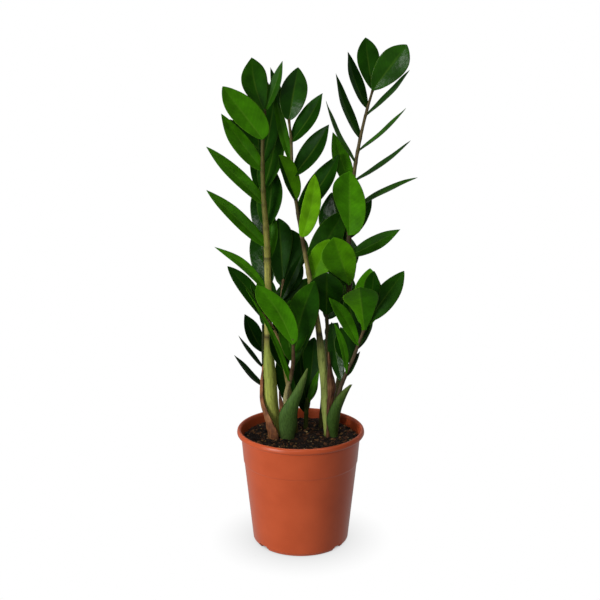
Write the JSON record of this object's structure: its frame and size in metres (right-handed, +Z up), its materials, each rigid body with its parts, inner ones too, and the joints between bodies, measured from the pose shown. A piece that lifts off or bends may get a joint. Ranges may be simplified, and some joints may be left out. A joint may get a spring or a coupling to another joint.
{
  "type": "potted zz plant",
  "caption": "Upright ZZ plant: tall stalks with rows of glossy pointed leaflets, standing in peat soil in a tapered plastic nursery pot with a rolled rim.",
  "frame": {"origin": "centre of the pot's underside, on the pot's axis", "axes": "+Z up along the pot's axis; the side that faces the camera looks along -Y"},
  "size_m": [0.2654, 0.2049, 0.6611],
  "materials": {
    "pot_plastic": "terracotta-coloured moulded polypropylene, satin",
    "peat_soil": null,
    "leaf_young": null,
    "leaf_old": null,
    "sheath_green": "fleshy green sheath, matte with fine lengthwise lines",
    "sheath_dry": "dry papery brown sheath"
  },
  "bodies": {
    "root": {"pot": "pot_plastic", "soil": "peat_soil", "stalk_left_tall": "leaf_young", "stalk_left_back": "leaf_old", "stalk_left_low": "leaf_old", "stalk_left_leaning": "leaf_old", "stalk_middle_back": "leaf_old", "stalk_centre_tall": "leaf_old", "stalk_right_tall": "leaf_old", "stalk_right_leaning": "leaf_young", "stalk_front_low": "leaf_young", "stalk_right_back": "leaf_old", "shoot_centre_back": "leaf_old", "sheath_green_front": "sheath_green", "sheath_green_right": "sheath_green", "sheath_brown_left": "sheath_dry", "sheath_brown_centre": "sheath_dry", "sheath_brown_small": "sheath_dry"}
  },
  "joints": []
}
